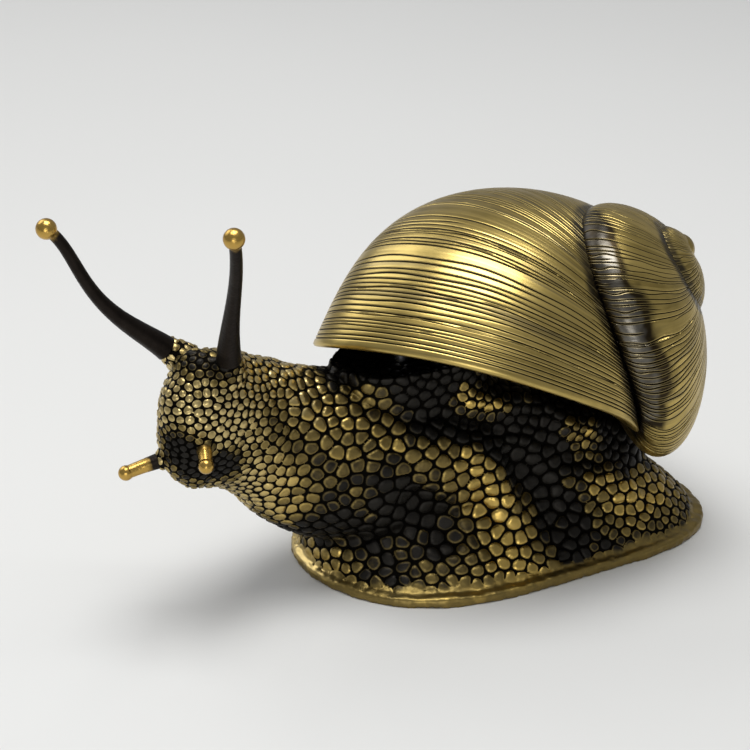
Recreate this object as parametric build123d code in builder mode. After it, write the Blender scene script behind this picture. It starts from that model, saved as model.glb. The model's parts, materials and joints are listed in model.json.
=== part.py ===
import os
from math import cos, exp, pi, radians, sin, sqrt

from build123d import *

# Snail figurine in cast brass. All lengths are in millimetres and all angles in degrees.
# +Z is up, the head looks towards -Y and the spire of the shell points to +Y.
# +X is the snail's left side. The origin lies on the surface that the foot stands on,
# under the middle of the whole figurine.

# Place of the middle of the foot, seen from the origin
foot_x = -3.9
foot_y = 28.5

# Fit of every spigot and pin in its socket, and of a screw in a plain hole
slip_clearance = 0.05
screw_clearance = 0.15

# The level seat on the crown of the body that carries the shell
seat_x = 4.0
seat_y = -16.0
seat_height = 50.0
crown_thickness = 6.0

# Screw and washer that hold the shell from below, and the pin that keeps it from turning
screw_radius = 2.0
screw_grip = 12.0
screw_head_radius = 3.4
screw_head_height = 2.6
screw_slot_width = 1.0
screw_slot_depth = 1.2
washer_radius = 4.2
washer_thickness = 1.0
pin_radius = 1.5
pin_reach = 4.5
pin_offset = -10.0

os.makedirs("parts", exist_ok=True)


def spot(x, y, z):
    """A point given from the middle of the foot."""
    return Vector(x + foot_x, y + foot_y, z)


seat = Plane(spot(seat_x, seat_y, seat_height))
pin_seat = Plane(spot(seat_x, seat_y + pin_offset, seat_height))

# Shell casting: a spiral horn. Its outline at any time was one growth line, a slanted oval,
# and every line before the lip is that oval turned back round the axis and drawn smaller.
# The shares are parts of the size that the horn has at each growth line.
apex_side = 8.54
apex_behind = 42.3
apex_height = 70.94
shell_size = 27.7
axis_bearing = 14.93
axis_climb = 36.04
lip_bearing = 27.46
growth_per_turn = 2.46
flare_angle = 152.5

reach_share = 1.0
lip_reach_share = -0.468
drop_share = 1.397
lip_drop_share = 0.683
early_drop_share = -0.389
width_share = 1.172
lip_width_share = 0.195
early_width_share = 0.138
length_share = 0.796
lip_length_share = 0.269
early_length_share = -0.102
slant = 28.0
lip_slant = 40.3
lean = 35.4
lip_lean = 11.1

# The horn bulges a little behind the lip, where it was crowded by the foot
bulge_turns = 0.62
bulge_spread = 0.18
bulge_reach_share = 0.16
bulge_drop_share = 0.1
bulge_width_share = 0.16
bulge_length_share = 0.05

pillar_share = 0.05
pillar_blend_share = 0.16
line_points = 20
stretch_turns = 0.4
stretch_count = 6
stretch_lines = 4

shell_wall = 2.8
hollow_turns = 0.36
mouth_turns = 0.04
lip_arch_radius = 135.0
lip_arch_rise = 5.5
post_width = 11.0
post_length = 30.0
post_reach = 60.0

climb = radians(axis_climb)
bearing = radians(axis_bearing)
apex = spot(apex_side, apex_behind, apex_height)
shell_axis = Vector(sin(bearing) * cos(climb), cos(bearing) * cos(climb), sin(climb))
shell_side = shell_axis.cross(Vector(0, 0, 1)).normalized()
shell_rise = shell_side.cross(shell_axis)


def growth_line(turns, wall):
    """Plane and points of the growth line so many turns before the lip, drawn in by a wall."""
    fade = exp(-2 * pi * turns / radians(flare_angle))
    age = turns / (1 + turns)
    bulge = exp(-(((turns - bulge_turns) / bulge_spread) ** 2))
    size = shell_size * growth_per_turn**-turns
    reach = size * (reach_share + lip_reach_share * fade + bulge_reach_share * bulge)
    drop = size * (
        drop_share + lip_drop_share * fade + early_drop_share * age + bulge_drop_share * bulge
    )
    width = -wall + size * (
        width_share + lip_width_share * fade + early_width_share * age + bulge_width_share * bulge
    )
    length = -wall + size * (
        length_share
        + lip_length_share * fade
        + early_length_share * age
        + bulge_length_share * bulge
    )
    tilt = radians(slant + lip_slant * fade)
    back = radians(lean + lip_lean * fade)
    swing = radians(lip_bearing) + 2 * pi * turns
    outward = shell_side * cos(swing) + shell_rise * sin(swing)
    ahead = shell_side * sin(swing) - shell_rise * cos(swing)
    sweep = shell_axis * -cos(back) - ahead * sin(back)
    pillar = size * pillar_share + wall
    blend = size * pillar_blend_share
    points = []
    for step in range(line_points):
        turn = 2 * pi * step / line_points
        over = reach + width * cos(turn) * cos(tilt) - length * sin(turn) * sin(tilt) - pillar
        along = width * cos(turn) * sin(tilt) + length * sin(turn) * cos(tilt)
        points.append((pillar + (over + sqrt(over**2 + blend**2)) / 2, along))
    return Plane(apex - shell_axis * drop, x_dir=outward, z_dir=outward.cross(sweep)), points


def stretch(first, last, wall):
    """Solid horn between two growth lines less than half a turn apart."""
    with BuildPart() as horn:
        for line in range(stretch_lines + 1):
            plane, points = growth_line(first + (last - first) * line / stretch_lines, wall)
            with BuildSketch(plane):
                with BuildLine():
                    Spline(points, periodic=True)
                make_face()
        loft()
    return horn.part


horns = [stretch(stretch_turns * k, stretch_turns * (k + 1), 0) for k in range(stretch_count)]
hollow = stretch(-mouth_turns, hollow_turns, shell_wall)

# Post inside the shell, from the seat up into the roof of the hollow
with BuildPart() as post:
    with BuildSketch(seat):
        SlotOverall(post_length, post_width, rotation=90)
    extrude(amount=post_reach)
    add(horns[0], mode=Mode.INTERSECT)

# The innermost growth line is closed by a low dome
nub_plane, nub_points = growth_line(stretch_turns * stretch_count, 0)
nub_middle = nub_plane.from_local_coords(
    (sum(x for x, y in nub_points) / line_points, sum(y for x, y in nub_points) / line_points)
)
nub_radius = (max(y for x, y in nub_points) - min(y for x, y in nub_points)) / 2

# The edge of the lip is arched a little when seen from the side of the snail
lip_plane, lip_points = growth_line(0, 0)
lip_middle = lip_plane.from_local_coords(
    (sum(x for x, y in lip_points) / line_points, sum(y for x, y in lip_points) / line_points)
)
arch_middle = lip_middle + lip_plane.z_dir * (lip_arch_radius - lip_arch_rise)

with BuildPart() as shell:
    add(horns[0])
    add(hollow, mode=Mode.SUBTRACT)
    add(post.part)
    with BuildSketch(Plane(arch_middle, x_dir=lip_plane.z_dir, z_dir=lip_plane.x_dir)):
        Circle(lip_arch_radius)
    extrude(amount=post_reach, both=True, mode=Mode.SUBTRACT)
    for horn in horns[1:]:
        add(horn)
    with Locations(nub_middle):
        Sphere(nub_radius)
    with Locations(seat * Location((0, 0, 0), (180, 0, 0))):
        Hole(screw_radius + slip_clearance, depth=screw_grip)
    with Locations(pin_seat * Location((0, 0, 0), (180, 0, 0))):
        Hole(pin_radius + slip_clearance, depth=pin_reach + slip_clearance)
shell.part.label = "shell"
export_step(shell.part, "parts/shell.step")

# Body casting: level rings from the foot up to the crown. The shares are parts of the seat
# height, the half width and the two reaches of the foot, and the sideways place of the seat.
foot_front_reach = 50.0
foot_back_reach = 49.5
foot_half_width = 29.5
rim_thickness = 2.4
body_wall = 4.0
ring_points = 16
foot_waist_share = 0.078
foot_taper_share = 0.1
foot_blunt_share = 0.2
waist_angle = 118.0
ring_height_shares = (0.024, 0.22, 0.42, 0.62, 0.8, 1)
ring_width_shares = (0.95, 0.68, 0.51, 0.39, 0.34, 0.34)
ring_front_shares = (0.97, 0.94, 0.9, 0.86, 0.84, 0.84)
ring_back_shares = (0.95, 0.8, 0.62, 0.42, 0, -0.08)
ring_shift_shares = (0, 0, 0, 0.25, 0.62, 1)


def body_ring(width, front, back, shift):
    """Points of a level ring round the body, from the front and round by the left side."""
    points = []
    for step in range(ring_points):
        turn = 2 * pi * step / ring_points
        along = cos(turn)
        side = width * sin(turn) * (1 + foot_taper_share * along + foot_blunt_share * along**2)
        side *= 1 - foot_waist_share * cos(3 * (turn - radians(waist_angle)))
        points.append((side + shift + foot_x, (back - front - (back + front) * along) / 2 + foot_y))
    return points


def ring_stack(heights, wall):
    """Solid through the level rings, each drawn in by a wall."""
    with BuildPart() as stack:
        for height, width, front, back, shift in zip(
            heights, ring_width_shares, ring_front_shares, ring_back_shares, ring_shift_shares
        ):
            ring = body_ring(
                width * foot_half_width - wall,
                front * foot_front_reach - wall,
                back * foot_back_reach - wall,
                shift * seat_x,
            )
            with BuildSketch(Plane.XY.offset(height)):
                with BuildLine():
                    Spline(ring, periodic=True)
                make_face()
        loft()
    return stack.part


with BuildPart() as sole:
    with BuildSketch():
        with BuildLine():
            Spline(body_ring(foot_half_width, foot_front_reach, foot_back_reach, 0), periodic=True)
        make_face()
    extrude(amount=rim_thickness)
    fillet(sole.faces().sort_by(Axis.Z)[-1].edges(), rim_thickness / 3)

torso = ring_stack([share * seat_height for share in ring_height_shares], 0)
ceiling = seat_height - crown_thickness
cavity = ring_stack([0] + [share * ceiling for share in ring_height_shares[1:]], body_wall)

# Oval slices through the neck and the head, square to the way that they face. The shares are
# parts of the place of the muzzle and of the half height and half width of the neck.
head_side = 20.5
head_ahead = 78.5
head_height = 48.0
neck_half_height = 19.5
neck_half_width = 17.5
muzzle_radius = 7.8
muzzle_half_height = 14.5
neck_place_shares = (
    (0.024, -0.102, 0.396),
    (0.024, 0.076, 0.427),
    (0.073, 0.255, 0.469),
    (0.146, 0.433, 0.531),
    (0.268, 0.599, 0.635),
    (0.439, 0.739, 0.781),
    (0.659, 0.854, 0.927),
    (0.854, 0.943, 1),
    (1, 1, 1),
)
neck_aims = (
    (0, -1, 0.1),
    (0, -1, 0.12),
    (0.08, -0.97, 0.2),
    (0.13, -0.94, 0.3),
    (0.22, -0.9, 0.36),
    (0.38, -0.86, 0.34),
    (0.5, -0.83, 0.2),
    (0.62, -0.77, 0.05),
    (0.64, -0.76, 0),
)
neck_height_shares = (0.615, 0.82, 0.949, 1, 0.974, 0.872, 0.795, 0.831, 0.641)
neck_width_shares = (0.629, 0.914, 1, 0.971, 0.829, 0.674, 0.56, 0.503, 0.389)
muzzle_place_share = (0.902, 0.976, 0.979)


def head_spot(side_share, ahead_share, height_share):
    """A point of the neck or the head, in shares of the place of the muzzle."""
    return spot(side_share * head_side, -ahead_share * head_ahead, height_share * head_height)


with BuildPart() as neck:
    for place, aim, height_share, width_share_here in zip(
        neck_place_shares, neck_aims, neck_height_shares, neck_width_shares
    ):
        ahead = Vector(*aim)
        slice_plane = Plane(head_spot(*place), x_dir=ahead.cross(Vector(0, 0, 1)), z_dir=ahead)
        with BuildSketch(slice_plane):
            Ellipse(width_share_here * neck_half_width, height_share * neck_half_height)
    loft()

muzzle_middle = head_spot(*muzzle_place_share)

with BuildPart() as muzzle:
    with BuildSketch(Plane(muzzle_middle, x_dir=(1, 0, 0), z_dir=(0, -1, 0))):
        Ellipse(muzzle_radius, muzzle_half_height)
        split(bisect_by=Plane.YZ)
    revolve(axis=Axis(muzzle_middle, (0, 0, 1)))

# Feelers: a long one with an eye and a short one on each side. Each root is given in shares
# of the place of the muzzle, and its bends in shares of the feeler's own length.
spigot_share = 0.55
boss_spread = 1.5
boss_depth = 6.0
stalk_spigot_length = 6.0
stalk_radius = 2.7
stalk_ball_radius = 2.2
stalk_taper_shares = (1, 0.78, 0.61, 0.52, 0.48, 0.46)
left_stalk_length = 42.0
right_stalk_length = 38.6
left_stalk_root_share = (1.102, 0.885, 1.323)
right_stalk_root_share = (0.556, 1.024, 1.302)
left_stalk_bend_shares = (
    (0, 0, 0),
    (0.119, -0.017, 0.21),
    (0.252, -0.026, 0.429),
    (0.521, -0.081, 0.845),
)
right_stalk_bend_shares = (
    (0, 0, 0),
    (0.008, -0.194, 0.168),
    (0.018, -0.368, 0.358),
    (0.028, -0.505, 0.622),
    (0.036, -0.619, 0.785),
)

lower_spigot_length = 4.0
lower_radius = 1.7
lower_ball_radius = 1.65
lower_taper_shares = (1, 0.88, 0.82)
left_lower_length = 4.6
right_lower_length = 7.2
left_lower_root_share = (1.302, 0.971, 0.94)
right_lower_root_share = (0.907, 1.078, 0.833)
left_lower_bend_shares = ((0, 0, 0), (0.49, -0.07, -0.15), (0.93, -0.15, -0.32))
right_lower_bend_shares = ((0, 0, 0), (0.014, -0.486, -0.111), (0.056, -0.972, -0.222))


def course(root_share, bend_shares, reach):
    """Middle line of a feeler."""
    root = head_spot(*root_share)
    with BuildLine() as curve:
        Spline([root + Vector(*bend) * reach for bend in bend_shares])
    return curve.wires()[0]


def feeler(path, radius, taper_shares, ball_radius, spigot_length):
    """Tapering feeler with a round end and a plain spigot under its shoulder."""
    with BuildPart() as piece:
        for number, taper in enumerate(taper_shares):
            along = number / (len(taper_shares) - 1)
            with BuildSketch(Plane(path @ along, z_dir=path % along)):
                Circle(radius * taper)
        loft()
        with Locations(path @ 1):
            Sphere(ball_radius)
        with BuildSketch(Plane(path @ 0, z_dir=path % 0)):
            Circle(radius * spigot_share)
        extrude(amount=-spigot_length)
    return piece


def boss(path, radius):
    """Mound on the head with a flat top that the shoulder of a feeler sits on."""
    top = Plane(path @ 0, z_dir=path % 0)
    with BuildPart() as mound:
        with BuildSketch(top):
            Circle(radius)
        with BuildSketch(top.offset(-boss_depth)):
            Circle(radius + boss_spread)
        loft()
    return mound.part


def socket(path, radius, depth):
    """Blind hole for the spigot of a feeler."""
    with BuildPart() as hole:
        with BuildSketch(Plane(path @ 0, z_dir=path % 0)):
            Circle(radius * spigot_share + slip_clearance)
        extrude(amount=-depth - slip_clearance)
    return hole.part


left_stalk_path = course(left_stalk_root_share, left_stalk_bend_shares, left_stalk_length)
right_stalk_path = course(right_stalk_root_share, right_stalk_bend_shares, right_stalk_length)
left_lower_path = course(left_lower_root_share, left_lower_bend_shares, left_lower_length)
right_lower_path = course(right_lower_root_share, right_lower_bend_shares, right_lower_length)

paths = (left_stalk_path, right_stalk_path, left_lower_path, right_lower_path)
roots = (stalk_radius, stalk_radius, lower_radius, lower_radius)
depths = (stalk_spigot_length, stalk_spigot_length, lower_spigot_length, lower_spigot_length)
bosses = [boss(path, radius) for path, radius in zip(paths, roots)]
sockets = [socket(path, radius, depth) for path, radius, depth in zip(paths, roots, depths)]

# Folds of the flanks: on each side a ridge and a long bulge stand out, and a valley and a dimple
# lie between them. Each follows the middle line of a round roll, given in shares of the half
# width and the front reach of the foot and of the seat height.
ridge_radius = 8.0
bulge_radius = 10.0
valley_radius = 9.0
dimple_radius = 9.0
roll_taper_shares = (0.83, 0.95, 1, 0.95, 0.83)
left_ridge_shares = (
    (0.318, -0.319, 0.584),
    (0.331, -0.163, 0.414),
    (0.456, -0.081, 0.174),
    (0.628, -0.048, 0.042),
)
right_ridge_shares = (
    (-0.223, -0.299, 0.583),
    (-0.31, -0.145, 0.379),
    (-0.451, -0.072, 0.191),
    (-0.632, -0.053, 0.048),
)
left_bulge_shares = (
    (0.16, 0.113, 0.375),
    (0.186, 0.253, 0.29),
    (0.197, 0.403, 0.208),
    (0.263, 0.567, 0.075),
)
right_bulge_shares = (
    (-0.151, 0.124, 0.378),
    (-0.175, 0.257, 0.295),
    (-0.194, 0.413, 0.21),
    (-0.236, 0.561, 0.084),
)
left_valley_shares = (
    (0.665, -0.005, 0.635),
    (0.72, 0.073, 0.437),
    (0.82, 0.125, 0.314),
    (0.991, 0.136, 0.183),
)
right_valley_shares = (
    (-0.606, -0.024, 0.682),
    (-0.7, 0.083, 0.464),
    (-0.821, 0.131, 0.318),
    (-0.992, 0.141, 0.186),
)
left_dimple_shares = (
    (0.918, -0.635, 0.534),
    (0.91, -0.533, 0.401),
    (0.868, -0.441, 0.334),
    (0.902, -0.355, 0.326),
)
right_dimple_shares = (
    (-0.744, -0.659, 0.535),
    (-0.772, -0.555, 0.442),
    (-0.845, -0.451, 0.397),
    (-0.902, -0.355, 0.327),
)


def roll(place_shares, radius):
    """Round roll along one flank, a little thinner at its ends."""
    places = [
        spot(side * foot_half_width, back * foot_front_reach, height * seat_height)
        for side, back, height in place_shares
    ]
    with BuildLine() as curve:
        Spline(places)
    path = curve.wires()[0]
    with BuildPart() as fold:
        for number, taper in enumerate(roll_taper_shares):
            along = number / (len(roll_taper_shares) - 1)
            with BuildSketch(Plane(path @ along, z_dir=path % along)):
                Circle(radius * taper)
        loft()
        split(bisect_by=Plane.XY)
    return fold.part


raised_rolls = (
    roll(left_ridge_shares, ridge_radius),
    roll(right_ridge_shares, ridge_radius),
    roll(left_bulge_shares, bulge_radius),
    roll(right_bulge_shares, bulge_radius),
)
sunken_rolls = (
    roll(left_valley_shares, valley_radius),
    roll(right_valley_shares, valley_radius),
    roll(left_dimple_shares, dimple_radius),
    roll(right_dimple_shares, dimple_radius),
)

with BuildPart() as body:
    add(sole.part)
    add(torso)
    add(neck.part)
    add(muzzle.part)
    for fold in raised_rolls:
        add(fold)
    for fold in sunken_rolls:
        add(fold, mode=Mode.SUBTRACT)
    add(cavity, mode=Mode.SUBTRACT)
    for mound in bosses:
        add(mound)
    for hole in sockets:
        add(hole, mode=Mode.SUBTRACT)
    with Locations(seat):
        Hole(screw_radius + screw_clearance, depth=crown_thickness)
    with Locations(pin_seat):
        Hole(pin_radius + slip_clearance, depth=pin_reach + slip_clearance)
body.part.label = "body"
export_step(body.part, "parts/body.step")

eye_stalk_left = feeler(
    left_stalk_path, stalk_radius, stalk_taper_shares, stalk_ball_radius, stalk_spigot_length
)
eye_stalk_left.part.label = "eye_stalk_left"
export_step(eye_stalk_left.part, "parts/eye_stalk_left.step")

eye_stalk_right = feeler(
    right_stalk_path, stalk_radius, stalk_taper_shares, stalk_ball_radius, stalk_spigot_length
)
eye_stalk_right.part.label = "eye_stalk_right"
export_step(eye_stalk_right.part, "parts/eye_stalk_right.step")

lower_feeler_left = feeler(
    left_lower_path, lower_radius, lower_taper_shares, lower_ball_radius, lower_spigot_length
)
lower_feeler_left.part.label = "lower_feeler_left"
export_step(lower_feeler_left.part, "parts/lower_feeler_left.step")

lower_feeler_right = feeler(
    right_lower_path, lower_radius, lower_taper_shares, lower_ball_radius, lower_spigot_length
)
lower_feeler_right.part.label = "lower_feeler_right"
export_step(lower_feeler_right.part, "parts/lower_feeler_right.step")

# Fixings: the washer lies against the underside of the crown, and the screw goes up
# through it into the post of the shell
crown_underside = seat.offset(-crown_thickness)
head_top = crown_underside.offset(-washer_thickness)

with BuildPart() as shell_washer:
    with BuildSketch(crown_underside):
        Circle(washer_radius)
        Circle(screw_radius + screw_clearance, mode=Mode.SUBTRACT)
    extrude(amount=-washer_thickness)
shell_washer.part.label = "shell_washer"
export_step(shell_washer.part, "parts/shell_washer.step")

with BuildPart() as shell_screw:
    with BuildSketch(head_top):
        Circle(screw_head_radius)
    extrude(amount=-screw_head_height)
    fillet(shell_screw.edges().sort_by(Axis.Z)[0], screw_head_height / 3)
    with BuildSketch(head_top.offset(-screw_head_height)):
        Rectangle(2 * screw_head_radius, screw_slot_width)
    extrude(amount=screw_slot_depth, mode=Mode.SUBTRACT)
    with BuildSketch(head_top):
        Circle(screw_radius)
    extrude(amount=washer_thickness + crown_thickness + screw_grip - slip_clearance)
shell_screw.part.label = "shell_screw"
export_step(shell_screw.part, "parts/shell_screw.step")

with BuildPart() as locating_pin:
    with BuildSketch(pin_seat.offset(-pin_reach)):
        Circle(pin_radius)
    extrude(amount=2 * pin_reach)
    chamfer(locating_pin.edges(), slip_clearance * 4)
locating_pin.part.label = "locating_pin"
export_step(locating_pin.part, "parts/locating_pin.step")
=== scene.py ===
# %% [markdown]
# # A cast brass snail
#
# The object is a desk ornament: a crawling snail cast in brass, about 156 mm long. Its solids
# come from the CAD model, which fixes every size. This script dresses them: it carves growth
# grooves into the shell and scales into the body, gives each metal its finish, and sets up the
# camera and a soft studio. All numbers below are in millimetres unless a line says otherwise.

import json
import math

import bpy
import numpy as np
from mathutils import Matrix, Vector
from mathutils.bvhtree import BVHTree
from mathutils.kdtree import KDTree

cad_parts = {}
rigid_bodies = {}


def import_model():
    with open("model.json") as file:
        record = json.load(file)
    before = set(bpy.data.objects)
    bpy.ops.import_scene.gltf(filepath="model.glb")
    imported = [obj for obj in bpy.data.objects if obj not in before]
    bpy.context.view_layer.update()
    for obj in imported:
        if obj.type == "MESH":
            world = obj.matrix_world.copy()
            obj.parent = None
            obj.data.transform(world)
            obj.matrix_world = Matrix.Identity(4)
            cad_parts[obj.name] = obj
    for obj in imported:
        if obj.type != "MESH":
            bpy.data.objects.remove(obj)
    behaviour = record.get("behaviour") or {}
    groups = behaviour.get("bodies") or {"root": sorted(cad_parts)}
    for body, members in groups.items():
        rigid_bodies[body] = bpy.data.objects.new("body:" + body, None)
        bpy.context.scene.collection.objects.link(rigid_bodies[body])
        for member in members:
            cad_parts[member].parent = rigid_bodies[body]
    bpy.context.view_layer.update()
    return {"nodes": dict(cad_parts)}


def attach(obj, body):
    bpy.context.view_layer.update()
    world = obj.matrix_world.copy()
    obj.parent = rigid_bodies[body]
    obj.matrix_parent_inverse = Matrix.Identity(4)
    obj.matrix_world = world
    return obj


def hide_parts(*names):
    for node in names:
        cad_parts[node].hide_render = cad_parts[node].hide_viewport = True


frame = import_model()
nodes = frame["nodes"]
random = np.random.default_rng(7)
foot = np.array((-3.9, 28.5, 0.0))
print("nodes:", sorted(nodes))

# %% [markdown]
# ## Small helpers
#
# Colours are written as sRGB hex values, the way a paint chart gives them. Blender's shaders
# want linear light, so one function turns them. A second one adds a shader node with its
# settings and links, which keeps every material readable. Patterns are placed in millimetres;
# only the heights of bumps are in metres, as Blender takes them.


# %% Colour and node helpers
def colour(value):
    """Linear RGBA of an sRGB hex value."""
    channels = [int(value[k : k + 2], 16) / 255 for k in (1, 3, 5)]
    linear = [c / 12.92 if c <= 0.04045 else ((c + 0.055) / 1.055) ** 2.4 for c in channels]
    return (*linear, 1.0)


def add_node(tree, kind, settings=None, output=0, **inputs):
    """Adds a shader node. An input is a value or an output socket. Returns the output asked for."""
    node = tree.nodes.new("ShaderNode" + kind)
    for name, value in (settings or {}).items():
        setattr(node, name, value)
    for name, value in inputs.items():
        key = int(name[1:]) if name[0] == "_" else name.replace("_", " ")
        if isinstance(value, bpy.types.NodeSocket):
            tree.links.new(value, node.inputs[key])
        else:
            node.inputs[key].default_value = value
    return node if output is None else node.outputs[output]


def new_material(name):
    """An empty material: its tree, the shader that feeds its output and the place in mm."""
    material = bpy.data.materials.new(name)
    material.use_nodes = True
    tree = material.node_tree
    tree.nodes.clear()
    shader = add_node(tree, "BsdfPrincipled", output=None)
    add_node(tree, "OutputMaterial", output=None, Surface=shader.outputs[0])
    metres = add_node(tree, "TexCoord", output="Object")
    place = add_node(tree, "VectorMath", {"operation": "SCALE"}, _0=metres, Scale=1000.0)
    return material, tree, shader, place


def make_metal(tree, shader, tint, roughness, bumps):
    """Turns a shader into metal and feeds it a colour, a roughness and bumps."""
    shader.inputs["Metallic"].default_value = 1.0
    for name, socket in (("Base Color", tint), ("Roughness", roughness), ("Normal", bumps)):
        tree.links.new(socket, shader.inputs[name])


# Settings that many nodes share.
smooth_range = {"interpolation_type": "SMOOTHSTEP"}
mix_colours = {"data_type": "RGBA"}
scale_and_add = {"operation": "MULTIPLY_ADD"}


def new_piece(name, points, faces, smooth=True):
    """A mesh object from points in millimetres."""
    mesh = bpy.data.meshes.new(name)
    points = np.asarray(points, float) / 1000
    mesh.from_pydata(points.tolist(), [], faces)
    mesh.validate()
    if smooth:
        mesh.shade_smooth()
    piece = bpy.data.objects.new(name, mesh)
    bpy.context.collection.objects.link(piece)
    return piece


def set_attribute(mesh, name, values, kind="FLOAT"):
    """Stores one number or vector for each vertex, for a material to read."""
    layer = mesh.attributes.new(name, kind, "POINT")
    key = "value" if kind == "FLOAT" else "vector"
    layer.data.foreach_set(key, np.ascontiguousarray(values, np.float32).ravel())


def vertex_array(mesh, key="co"):
    """Vertex places or normals as an array."""
    data = np.empty(len(mesh.vertices) * 3, np.float32)
    source = mesh.vertices if key == "co" else mesh.vertex_normals
    source.foreach_get("co" if key == "co" else "vector", data)
    return data.reshape(-1, 3).astype(float)


def smoothstep(low, high, x):
    """0 below low, 1 above high and a smooth rise between."""
    s = np.clip((x - low) / (high - low), 0, 1)
    return s * s * (3 - 2 * s)


def soft_noise(points, size, seed, octaves=2):
    """Smooth noise from -1 to 1, as a sum of slanted waves about so many millimetres long."""
    source = np.random.default_rng(seed)
    total = np.zeros(len(points))
    weight = 0
    for octave in range(octaves):
        for wave in range(7):
            way = source.normal(size=3)
            way *= 2 * np.pi / (size * 0.5**octave) / np.linalg.norm(way) * source.uniform(0.6, 1.4)
            total += np.sin(points @ way + source.uniform(0, 6.3)) * 0.6**octave
        weight += 0.6**octave * 7**0.5
    return total / weight * 1.1


print("helpers ready")

# %% [markdown]
# ## How open each place is
#
# Places hidden from the light of the room, in grooves, folds and under the shell, get painted
# shade. To find them, the script shoots a few rays from each place and counts how many get away.
# The result is stored with the mesh, and the finishes paint places that few rays leave darker.


# %% Openness by rays
def openness(points, normals, tree, rays=28, start=0.35, reach=45.0):
    """Share of the rays that leave each place freely, from 0 to 1."""
    source = np.random.default_rng(3)
    ways = source.normal(size=(rays, 3))
    ways /= np.linalg.norm(ways, axis=1)[:, None]
    result = np.zeros(len(points))
    for number, (place, normal) in enumerate(zip(points, normals)):
        free = 0
        weight = 0
        for way in ways:
            facing = way @ normal
            if facing < 0.05:
                continue
            origin = place + normal * start
            hit = tree.ray_cast(Vector(origin), Vector(way), reach)
            weight += facing
            # A ray that meets the floor within 60 mm doesn't get away.
            if hit[0] is None and way[2] > -origin[2] / 60:
                free += facing
        result[number] = free / max(weight, 1e-6)
    return result


def point_tree(points):
    """Tree that finds the nearest of some points."""
    tree = KDTree(len(points))
    for number, place in enumerate(points):
        tree.insert(place, number)
    tree.balance()
    return tree


def spread(values, places, wanted, count=4):
    """Values at the wanted places, as a mean over the nearest known places."""
    tree = point_tree(places)
    result = np.empty(len(wanted))
    for number, place in enumerate(wanted):
        near = tree.find_n(place, count)
        weights = [1 / (distance + 0.2) for _, _, distance in near]
        total = sum(weight * values[index] for weight, (_, index, _) in zip(weights, near))
        result[number] = total / sum(weights)
    return result


def mesh_tree(objects):
    """Ray tree of CAD nodes, in millimetres."""
    points, faces = [], []
    for piece in objects:
        base = len(points)
        points += [vertex.co * 1000 for vertex in piece.data.vertices]
        faces += [[base + index for index in face.vertices] for face in piece.data.polygons]
    return BVHTree.FromPolygons(points, faces)


cad_tree = mesh_tree([nodes["body"], nodes["shell"]])
print("ray tree ready")

# %% [markdown]
# ## The shell
#
# A snail grows its shell by adding to the lip, so each growth line is the outline of an old
# lip. The CAD horn follows that: a slanted oval, turned back round an axis and drawn smaller.
# Here the same rule makes a finer skin. A sculpted or simulated shell would lose the exact
# spiral, so the skin is made row by row, with several rows for each growth groove. The numbers
# are those of the CAD model, which was fitted to the photograph.

# %% The growth rule
apex = np.array((8.54, 42.3, 70.94)) + foot
shell_size = 27.7
growth_per_turn = 2.46
axis_bearing, axis_climb, lip_bearing = (math.radians(a) for a in (14.93, 36.04, 27.46))
flare_angle = math.radians(152.5)
shell_wall = 2.8
shell_axis = np.array(
    (
        math.sin(axis_bearing) * math.cos(axis_climb),
        math.cos(axis_bearing) * math.cos(axis_climb),
        math.sin(axis_climb),
    )
)
shell_side = np.cross(shell_axis, (0, 0, 1))
shell_side /= np.linalg.norm(shell_side)
shell_rise = np.cross(shell_side, shell_axis)


def horn(turns, around, wall=0.0):
    """Places on the shell, so many turns before the lip and at an angle around the oval."""
    turns, around = np.broadcast_arrays(np.asarray(turns, float), np.asarray(around, float))
    fade = np.exp(-2 * np.pi * turns / flare_angle)
    age = turns / (1 + turns)
    bulge = np.exp(-(((turns - 0.62) / 0.18) ** 2))
    size = shell_size * growth_per_turn**-turns
    reach = size * (1.0 - 0.468 * fade + 0.16 * bulge)
    drop = size * (1.397 + 0.683 * fade - 0.389 * age + 0.1 * bulge)
    width = size * (1.172 + 0.195 * fade + 0.138 * age + 0.16 * bulge) - wall
    length = size * (0.796 + 0.269 * fade - 0.102 * age + 0.05 * bulge) - wall
    tilt = np.radians(28.0 + 40.3 * fade)
    back = np.radians(35.4 + 11.1 * fade)
    swing = lip_bearing + 2 * np.pi * turns
    outward = np.cos(swing)[..., None] * shell_side + np.sin(swing)[..., None] * shell_rise
    ahead = np.sin(swing)[..., None] * shell_side - np.cos(swing)[..., None] * shell_rise
    sweep = -np.cos(back)[..., None] * shell_axis - np.sin(back)[..., None] * ahead
    pillar = size * 0.05 + wall
    blend = size * 0.16
    over = reach - pillar
    over = over + width * np.cos(around) * np.cos(tilt) - length * np.sin(around) * np.sin(tilt)
    along = width * np.cos(around) * np.sin(tilt) + length * np.sin(around) * np.cos(tilt)
    out = pillar + (over + np.sqrt(over**2 + blend**2)) / 2
    middle = apex - shell_axis * drop[..., None]
    return middle + outward * out[..., None] + sweep * along[..., None]


print("lip reaches", horn(0, np.linspace(0, 6.28, 60)).min(0).round(1))

# %% [markdown]
# ## Where the lip ends
#
# The edge of the lip is arched: on the solid a large cylinder cuts it off. The skin has to end
# on the same curve, so for each angle around the oval the script looks for the growth line
# that just touches the cylinder. The edge itself is a rounded bead as thick as the wall.

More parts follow.
